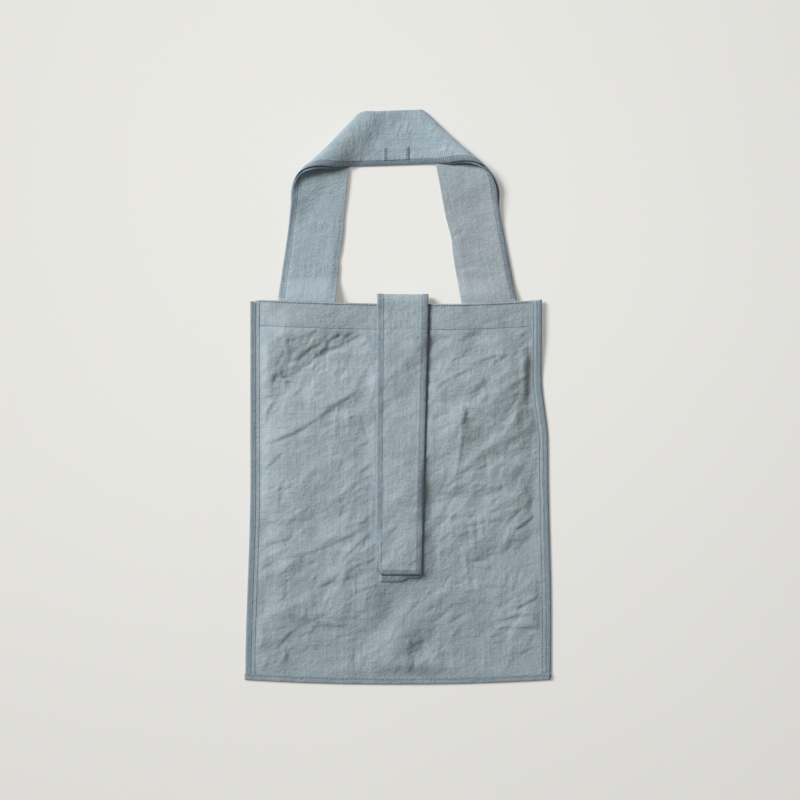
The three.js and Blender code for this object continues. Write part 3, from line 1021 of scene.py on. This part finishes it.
def add_bottom_seam():
    """The turned edge along the bottom: a band of cloth folded round the edges of both panels."""
    low, high = box_mm("bottom_seam")
    turn = np.linspace(math.pi / 2, -math.pi / 2, BAND_FOLD_ROWS)
    upper = spread(BOTTOM_SEAM, BAND_RADIUS, BAND_STEP)[:-1]
    lower = upper[::-1]
    inset = np.concatenate([upper, BAND_RADIUS * (1 - np.cos(turn)), lower])
    ends = np.ones(len(upper))
    rise = BAND_MIDDLE + BAND_RADIUS * np.concatenate([ends, np.sin(turn), -ends])
    over = np.arange(len(rise)) < len(rise) / 2
    rise = rise + np.where(over, BAND_SLOPE * (inset - BOTTOM_SEAM / 2), 0)
    x = spread(low[0] - BAND_UNDER_SEAMS, high[0] + BAND_UNDER_SEAMS, HIDDEN_STEP)[:, None]
    edge = BOTTOM + bottom_rise(x) - BAND_OUT
    wave = 0.3 * noise(x, 0 * x, 9, 71)
    y = edge + inset + wave * (inset > 4)
    z = np.maximum(rise + 0.12 * noise(x, y, 7, 72), BAND_PLY / 2)
    cloth = Cloth(xyz(x, y, z), BAND_PLY)
    piece = add_flat_cloth("bottom_seam", cloth, CLOTH)
    sewn(piece, "bag", ["bottom_seam"])
    threads = Threads()
    holes = Threads()
    end = cloth.edge_length() - 1
    stitching(threads, cloth, 1.0, 1, 1, end, FINE_THREAD)
    needle_holes(holes, cloth, 0.4, 1, 1, end, BOTTOM_HOLE)
    sewn(threads.made("bottom_stitching", YARN), "bag")
    sewn(holes.made("bottom_needle_holes", HOLE_SHADE), "bag")


def add_side_seams(front, back):
    serged = SIDE_OVERLOCK - EDGE_MARGIN
    safety = SAFETY_STITCH - EDGE_MARGIN
    sides = {"left": (front, back), "right": (front.mirrored(), back.mirrored())}
    for side, (over, under) in sides.items():
        threads = Threads()
        length = over.edge_length()
        overlock(threads, over, under, serged, 0.0, length)
        overlock(threads, over.turned(), under.turned(), BOTTOM_SEAM - 1, 0.3, SEAM_WIDTH - 1)
        for inwards in (serged, safety):
            stitching(threads, over, inwards, 1, 0.5, length - 1, THREAD)
            stitching(threads, under, inwards, -1, 0.5, under.edge_length() - 1, THREAD)
        sewn(threads.made(f"{side}_overlock", YARN), "bag", [f"{side}_overlock"])
        holes = Threads()
        end = length - 1
        needle_holes(holes, over, safety, 1, 0.5, end, SAFETY_HOLE)
        needle_holes(holes, over, serged + SIDE_HOLE_INSET, 1, 1.2, end, SIDE_HOLE, OVERLOCK_PITCH)
        needle_holes(holes, over, EDGE_HOLE_INSET, 1, 0.8, end, EDGE_HOLE, OVERLOCK_PITCH)
        sewn(holes.made(f"{side}_needle_holes", HOLE_SHADE), "bag")


def add_mouth_stitching(front):
    """The stitching along the mouth edge and along the hem."""
    sheet = front.turned().mirrored()
    start = SEAM_WIDTH
    end = sheet.edge_length() - SEAM_WIDTH
    threads = Threads()
    holes = Threads()
    for inwards, radius in ((EDGE_STITCH, MOUTH_HOLE), (HEM_STITCH, HEM_HOLE)):
        stitching(threads, sheet, inwards, 1, start, end, FINE_THREAD)
        needle_holes(holes, sheet, inwards, 1, start, end, radius)
    sewn(threads.made("mouth_stitching", YARN), "bag")
    sewn(holes.made("mouth_needle_holes", HOLE_SHADE), "bag")


# Handles
def cross_2d(a, b):
    return a[0] * b[1] - a[1] * b[0]


def half_handle(leg, style, w, t):
    """Middle of the doubled strip, from the mouth at t = 0 to the middle of the top section at t = 1.

    The strip is turned over along a slanting line, in a soft roll. w runs across the strip from the
    plain edge to the serged edge.
    """
    side = leg["side"]
    up = np.array([-side * math.sin(leg["lean"]), math.cos(leg["lean"])])
    out = np.array([side * math.cos(leg["lean"]), math.sin(leg["lean"])])
    tilt = np.array([math.cos(TOP_TILT), math.sin(TOP_TILT)])
    inwards = -side * tilt
    down = np.array([tilt[1], -tilt[0]])
    foot = np.array([leg["foot"], MOUTH])
    top = np.array([0, MOUTH + HANDLE_RISE])
    reach = cross_2d(top - foot, inwards) / cross_2d(up, inwards)
    corner = foot + up * reach
    line = unit(up + inwards)
    cosine = up @ line
    sine = abs(cross_2d(up, line))
    beyond = unit(up - line * cosine)

    start = -w * out[1] / up[1]
    finish = reach - (corner[0] + down[0] * w) / inwards[0]
    s = lerp(start, finish, t)
    past = (s - reach) * sine + w * (out @ beyond)
    along = (s - reach) * cosine + w * (out @ line)

    roll = style["rolls"][side]
    share = np.clip(w / HANDLE_WIDTH + 0.5, 0, 1)
    wide = lerp(*roll["width"], share)
    tall = lerp(*roll["height"], share) / 2
    turn = math.pi / 2 * np.sqrt((wide**2 + tall**2) / 2)  # half the length of the roll
    slack = lerp(*roll["retreat"], share) + wide - turn
    angle = np.clip((past / turn + 1) * math.pi / 2, 0, math.pi)
    last = (finish - reach) * sine + w * (out @ beyond)
    eased = (lerp(*ROLL_EASE, share) ** -4 + (0.95 * (last - turn)) ** -4) ** -0.25
    drawn_in = slack * (1 - smooth((np.abs(past) - turn) / eased))
    across = np.where(np.abs(past) < turn, wide * np.sin(angle) - turn, -np.abs(past)) - drawn_in
    along = along - drawn_in * np.cos(angle) * cosine / sine
    x = corner[0] + line[0] * along + beyond[0] * across
    y = corner[1] + line[1] * along + beyond[1] * across

    height = up[1] * s + out[1] * w  # above the mouth, on the straight leg
    x_foot = leg["foot"] + out[0] * w
    y = y + (mouth_rise(x_foot) - 1) * (1 - smooth(height / MOUTH_EASE))
    raised = smooth((height - CORNER_FOOT) / CORNER_RAMP)
    rest = lerp(style["leg"], lerp(*style["corner"], share), raised)
    z = lerp(style["base"](x_foot), rest, smooth(height / LEG_RAMP)) + tall * (1 - np.cos(angle))
    sideways = x - leg["foot"] + height * side * math.tan(leg["lean"])
    z = z + style["tilt"] * sideways * (1 - smooth((height - TILT_TOP) / TILT_TOP))
    fallen = smooth(past / (lerp(*FALL_SHARES, share) * last))
    z = lerp(z, lerp(*style["middle"], share), fallen)
    hanging = smooth(height / DROOP_FOOT) * smooth((DROOP_TOP - height) / DROOP_RAMP)
    hanging = np.maximum(hanging, fallen**2)
    edges = np.maximum(smooth((share - 0.8) / 0.14), smooth((0.12 - share) / 0.12) * (past < 0))
    z = z - style["droop"] * hanging * edges
    for place, shift, half in style["waves"][side]:
        x = x + shift * np.exp(-(((height - place) / half) ** 2)) * (1 - share) ** 2 * (past < 0)
    x = x + side * style["flare"][side] * (1 - smooth(height / FLARE_TOP)) * share**2
    return xyz(x, y, z)


def handle_cloth(style):
    """A strip doubled along its length: two plies joined by the plain fold, open at the serged edge."""
    w = spread(style["serged"] * HANDLE_WIDTH, style["plain"] * HANDLE_WIDTH, STRIP_STEP)
    t = np.unique(np.concatenate([np.linspace(*span) for span in HANDLE_SPANS]))
    left = half_handle(LEFT_LEG, style, w[None, :], t[:, None])
    right = half_handle(RIGHT_LEG, style, w[None, :], t[::-1][1:, None])
    strip = np.concatenate([left, right])
    normals = grid_normals(strip)
    v = np.stack([run_length(strip[:, k]) for k in range(strip.shape[1])], axis=1)
    u = np.broadcast_to(w, v.shape)
    from_end = np.minimum(v, v[-1] - v)
    from_edge = np.minimum(w[0] - u, u - w[-1])
    seed = style["seed"]
    lumps = HANDLE_CRUMPLE * wrinkles(u, v, seed) + HANDLE_RIPPLE * noise(u, v, 9, seed + 9)
    lumps = style["wrinkled"] * lumps
    for line in style["creases"]:
        lumps = lumps + step_fold(u, v, *line)
    for line in style["right_creases"]:
        lumps = lumps + step_fold(u, v[-1] - v, *line)
    lumps = lumps * lerp(0.35, 1, smooth(from_edge / 10)) * smooth(from_end / 14)
    strip = strip + normals * lumps[..., None]
    share = v / v[-1]
    from_roll = v[-1] * np.minimum(*[np.abs(share - roll) for roll in ROLL_SHARES])
    near_roll = lerp(0.15, 1, smooth((85 - from_roll) / 70))
    opened = style["opened"] * near_roll * smooth((u - 4) / (w[0] - 4))
    apart = (PLY_GAP + opened * smooth(from_end / 40))[..., None]
    serged_side = unit(strip[:, :1] - strip[:, 1:2])
    near_edge = smooth((u - w[0] + 14) / 14) * style["slip"]

    def slipped(slips):
        out = sum(far * window(share, *span) for far, *span in slips)
        return (out * near_edge)[..., None] * serged_side

    outwards = unit(strip[:, -1] - strip[:, -2])
    fold_angles = np.linspace(-math.pi / 2, math.pi / 2, 7)[1:-1]
    bulges = [outwards * math.cos(angle) + normals[:, -1] * math.sin(angle) for angle in fold_angles]
    fold = np.stack([strip[:, -1] + apart[:, -1] * bulge for bulge in bulges], axis=1)
    outer = strip - apart * normals + slipped(OUTER_SLIPS)
    inner = strip + apart * normals + slipped(INNER_SLIPS)
    return Cloth(np.concatenate([outer, fold, inner[:, ::-1]], axis=1), HANDLE_PLY), len(w)


def add_handle(name, style):
    cloth, columns = handle_cloth(style)
    rows = cloth.points.shape[0]
    across = run_length(cloth.points[rows // 2])
    along = run_length(cloth.points[:, columns])
    piece = add_cloth(name, cloth, across[None, :], along[:, None], HANDLE_CLOTH)
    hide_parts(name)
    threads = Threads()
    plies = [sheet.part(columns=slice(columns)) for sheet in (cloth, cloth.mirrored())]
    for ply in plies:
        end = ply.edge_length() - HANDLE_END
        overlock(threads, ply, ply, STRIP_OVERLOCK, HANDLE_END, end)
        for face in (1, -1):
            stitching(threads, ply, STRIP_OVERLOCK, face, HANDLE_END, end, STRIP_THREAD)
    serging = threads.made(f"{name}_overlock", YARN)
    for made in (piece, serging):
        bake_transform(made)
    return plies


TACK_SHARES = (0.07, 0.93)  # places of the bar tacks along the label
TACK_HALF = 0.7
TACK_MARGIN = 0.8
TACK_TURNS = 15
TACK_HOLES = 1.1  # from the middle of a tack to the holes beside it


def add_label(ply):
    """A blank cloth tab sewn down at both ends on the top section of the front handle."""
    across = ply.edge_length() / 2 + spread(-LABEL_WIDTH / 2, LABEL_WIDTH / 2, 1)
    along, inwards = np.meshgrid(across, LABEL_LOW + spread(LABEL_HEIGHT, 0, 1))
    lift = -(ply.half + 0.16 + 0.08 * noise(along, inwards, 5, 81))
    points = ply.at(along.ravel(), inwards.ravel(), lift.ravel()).reshape(along.shape + (3,))
    cloth = Cloth(points, LABEL_PLY)
    piece = add_cloth("label", cloth, along, inwards, HANDLE_CLOTH)
    sewn(piece, "front_handle", ["label"])
    threads = Threads()
    holes = Threads()
    turns = np.arange(TACK_TURNS)
    inwards = LABEL_LOW + lerp(TACK_MARGIN, LABEL_HEIGHT - TACK_MARGIN, turns / turns[-1])
    for share in TACK_SHARES:
        middle = across[0] + LABEL_WIDTH * share
        threads.tube(ply.at(middle + TACK_HALF * (-1.0) ** turns, inwards, -(ply.half + 0.45)), THREAD)
        for shift in (-TACK_HOLES, TACK_HOLES):
            for dot in ply.at(middle + shift, inwards[::2], -(ply.half + 0.3)):
                holes.tube(np.stack([dot, dot + (0, 0, 0.25)]), LABEL_HOLE)
    sewn(threads.made("label_tacks", YARN), "front_handle")
    sewn(holes.made("label_needle_holes", HOLE_SHADE), "front_handle")


# How the strip rolls over at each corner, on the left (-1) and on the right (1): at its plain edge
# and at its serged edge
FRONT_ROLLS = {
    -1: {"width": (9, 14), "height": (2.4, 9.5), "retreat": (4, 8.5)},
    1: {"width": (1.5, 19), "height": (1.4, 9.5), "retreat": (2.5, 9)},
}
BACK_ROLL = {"width": (1, 1.5), "height": (1.4, 2), "retreat": (9, 9)}

# Waves of the plain edge of each leg: height above the mouth, sideways shift, reach
FRONT_WAVES = {-1: [(44, -1.2, 6), (71, 0.8, 12)], 1: [(65, 1.6, 14)]}

# Folds across the legs, from their feet up: start, end, bow, width, height
LEFT_LEG_FOLDS = [
    ((-8, 74), (-22, 70), 0, 5, 0.35),
    ((6, 52), (-26, 40), 1, 6, 0.4),
    ((16, 38), (-8, 30), 0, 5, 0.3),
    ((-2, 100), (-20, 94), 0, 6, 0.25),
    ((-6, 238), (-18, 241), 0, 3, 0.9),
    ((-9, 231), (-17, 234), 0, 3, 0.8),
    ((4, 88), (-24, 80), 1, 7, 0.4),
    ((22, 112), (-6, 106), 1, 6, 0.4),
]
RIGHT_LEG_FOLDS = [
    ((-6, 38), (-27, 34), 0, 6, 0.6),
    ((-10, 76), (-27, 66), 0, 5, 0.45),
    ((16, 82), (2, 78), 0, 4, 0.35),
    ((24, 42), (8, 38), 0, 4, 0.3),
    ((10, 58), (-20, 54), 1, 5, 0.3),
    ((6, 14), (-18, 12), 0, 5, 0.3),
]


def add_handles():
    front = {
        "rolls": FRONT_ROLLS,
        "wrinkled": 1.6,
        "leg": 2.6,
        "tilt": 0.012,
        "corner": (2.6, 6.6),
        "middle": (4.2, 1.7),
        "droop": 1.1,
        "opened": 0.8,
        "slip": 1,
        "flare": {-1: 3.2, 1: 0.5},
        "seed": 101,
        "plain": -0.5,
        "serged": 0.44,
        "waves": FRONT_WAVES,
        "creases": LEFT_LEG_FOLDS,
        "right_creases": RIGHT_LEG_FOLDS,
        "rests_on": "back_handle",
        "base": lambda x: front_height(x, np.full(np.shape(x), MOUTH)) - END_DROP,
    }
    back = {
        "rolls": {-1: BACK_ROLL, 1: BACK_ROLL},
        "wrinkled": 0.15,
        "leg": 0.8,
        "tilt": 0,
        "corner": (0.75, 0.75),
        "middle": (0.8, 0.8),
        "droop": 0,
        "opened": 0.1,
        "slip": 0,
        "flare": {-1: 0, 1: 0},
        "seed": 101,
        "plain": -0.43,
        "serged": 0.36,
        "waves": {-1: [], 1: []},
        "creases": [],
        "right_creases": [],
        "rests_on": "back_panel",
        "base": lambda x: np.full(np.shape(x), BACK_END_HEIGHT),
    }
    add_handle("back_handle", back)
    plies = add_handle("front_handle", front)
    add_label(plies[0])


# Ties
BEND_ROWS = 19
END_CUT = 26  # length of a tie's end over which its cut is shaped
MOUTH_FOLLOW = 60  # length over which a tie stops following the curve of the mouth


def add_tie(name, style):
    """A single ply that leaves the mouth, bends over its edge and lies down the front.

    It is made in two pieces, which meet where it leaves the mouth. The root stays with the bag.
    """
    root_low, root_high = box_mm(f"{name}_root")
    bulge = root_high[1] - MOUTH - PLY / 2
    length = MOUTH - box_mm(name)[0][1]
    tail = root_low[2] + PLY / 2
    width = root_high[0] - root_low[0]
    a = spread(0, 1, STRIP_STEP / width)[None, :]

    def plan(drop):
        left = style["left"] + style["left_slope"] * drop
        right = style["right"] + style["right_slope"] * drop
        return lerp(left, right, a)

    def lying(drop):
        drop = drop - style["cut"](a) * smooth((drop - length + END_CUT) / END_CUT)
        x = plan(drop)
        y = MOUTH + mouth_rise(x) * smooth(1 - drop / MOUTH_FOLLOW) - drop
        right_gap = np.interp(drop, style["gap_drops"], style["right_gaps"])
        gap = lerp(style["left_gap"], right_gap, a**6) + style["bow"] * np.sin(math.pi * a)
        own = style["wrinkled"] * np.maximum(wrinkles(x, y, style["seed"]), 0) * smooth(drop / 25)
        z = front_height(x, y) + gap + own * smooth(np.minimum(a, 1 - a) * 8)
        return xyz(x, y, z)

    drops = spread(0, length, STRIP_STEP)[1:, None]
    mouth_row = lying(np.zeros((1, 1)))[0]
    angles = np.linspace(0, math.pi, BEND_ROWS)[:, None]
    rise = (1 - np.cos(angles)) / 2
    bend_y = mouth_row[:, 1] + bulge * np.sin(angles)
    bend_z = lerp(tail, mouth_row[:, 2], rise)
    bend = xyz(mouth_row[:, 0], bend_y, bend_z)
    sewn_y = MOUTH + spread(-SEWN_DEPTH, -0.6, HIDDEN_STEP)[:, None]
    sewn_part = xyz(plan(0.0), sewn_y, tail)
    points = np.concatenate([sewn_part, bend, lying(drops)])
    cloth = Cloth(points)
    u = a * width
    v = run_length(points[:, points.shape[1] // 2])[:, None]
    mouth = len(sewn_part)  # the row where the tie comes out of the mouth
    root = add_cloth(f"{name}_root", cloth.part(slice(mouth + 1)), u, v[: mouth + 1], CLOTH)
    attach(root, "bag")
    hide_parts(f"{name}_root")
    sheet = cloth.part(slice(mouth, None))
    tie = add_cloth(name, sheet, u, v[mouth:], CLOTH)
    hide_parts(name)
    threads = Threads()
    holes = Threads()
    for edge in (sheet, sheet.mirrored()):
        side = edge.edge_length()
        overlock(threads, edge, edge, STRIP_OVERLOCK, 1, side)
        stitching(threads, edge, STRIP_OVERLOCK, -1, 1, side, STRIP_THREAD)
        needle_holes(holes, edge, STRIP_OVERLOCK + 0.5, -1, 1, side - 2, EDGE_HOLE, OVERLOCK_PITCH)
    tip = sheet.turned().mirrored()
    overlock(threads, tip, tip, STRIP_OVERLOCK - 1, 0.5, tip.edge_length() - 0.5)
    stitching(threads, tip, STRIP_OVERLOCK - 1, -1, 1, tip.edge_length() - 1, STRIP_THREAD)
    serging = threads.made(f"{name}_overlock", YARN)
    pierced = holes.made(f"{name}_needle_holes", HOLE_SHADE)

    for made in (tie, serging, pierced):
        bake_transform(made)


# Each tie: its edges at the mouth and how they slant, its gaps to what it lies on, its own shape
FRONT_TIE = {
    "left": -18.8,
    "left_slope": 0.0064,
    "right": 23.6,
    "right_slope": -0.004,
    "left_gap": 0.6,
    "right_gaps": (0.6, 0.6),
    "gap_drops": (0, 270),
    "bow": 0,
    "wrinkled": 0,
    "seed": 151,
    "cut": lambda a: 3.5 * smooth((a - 0.5) / 0.2),
}
BACK_TIE = {
    "left": -20.0,
    "left_slope": -0.0062,
    "right": 30.6,
    "right_slope": -0.0247,
    "left_gap": 1.6,
    "right_gaps": (2.9, 2.7, 1.9, 1.7, 1.9),
    "gap_drops": (0, 45, 115, 180, 250),
    "bow": 0.4,
    "wrinkled": 0.8,
    "seed": 171,
    "cut": lambda a: 6 * smooth((0.1 - a) / 0.1) + 1.5,
}


# Floor, camera and light, in metres
FLOOR_REACH = 20
VIEW_WIDTH = 0.8
VIEW_MIDDLE = (0.0025, -0.0045)
LENS = 85
SENSOR = 36
KEY_PLACE = (-15, 9.8, 12.6)
KEY_SIZE = 9
KEY_POWER = 7150
KEY_COLOUR = (1, 0.99, 0.975)
SKY_COLOUR = (1, 0.98, 0.91, 1)
SKY_STRENGTH = 0.19


def add_floor():
    corners = np.array([(-1, -1, 0), (1, -1, 0), (1, 1, 0), (-1, 1, 0)])
    floor = add_object("floor", corners * FLOOR_REACH / MM, np.array([[0, 1, 2, 3]]), floor_material())


def add_camera():
    camera = bpy.data.cameras.new("camera")
    camera.lens = LENS
    camera.sensor_width = SENSOR
    made = linked("camera", camera)
    made.location = (*VIEW_MIDDLE, VIEW_WIDTH * LENS / SENSOR)
    bpy.context.scene.camera = made


def add_key_light():
    light = bpy.data.lights.new("key", "AREA")
    light.shape = "SQUARE"
    light.size = KEY_SIZE
    light.energy = KEY_POWER
    light.color = KEY_COLOUR
    made = linked("key", light)
    made.location = KEY_PLACE
    made.rotation_euler = (-Vector(KEY_PLACE)).to_track_quat("-Z", "Y").to_euler()


def add_sky():
    world = bpy.data.worlds.new("studio")
    world.use_nodes = True
    background = world.node_tree.nodes["Background"]
    background.inputs["Color"].default_value = SKY_COLOUR
    background.inputs["Strength"].default_value = SKY_STRENGTH
    bpy.context.scene.world = world
    bpy.context.scene.view_settings.view_transform = "Standard"


add_camera()
front, back = add_body()
add_facings()
add_sewn_ends()
add_bottom_seam()
add_side_seams(front, back)
add_mouth_stitching(front)
add_handles()
add_tie("front_tie", FRONT_TIE)
add_tie("back_tie", BACK_TIE)
add_floor()
add_key_light()
add_sky()
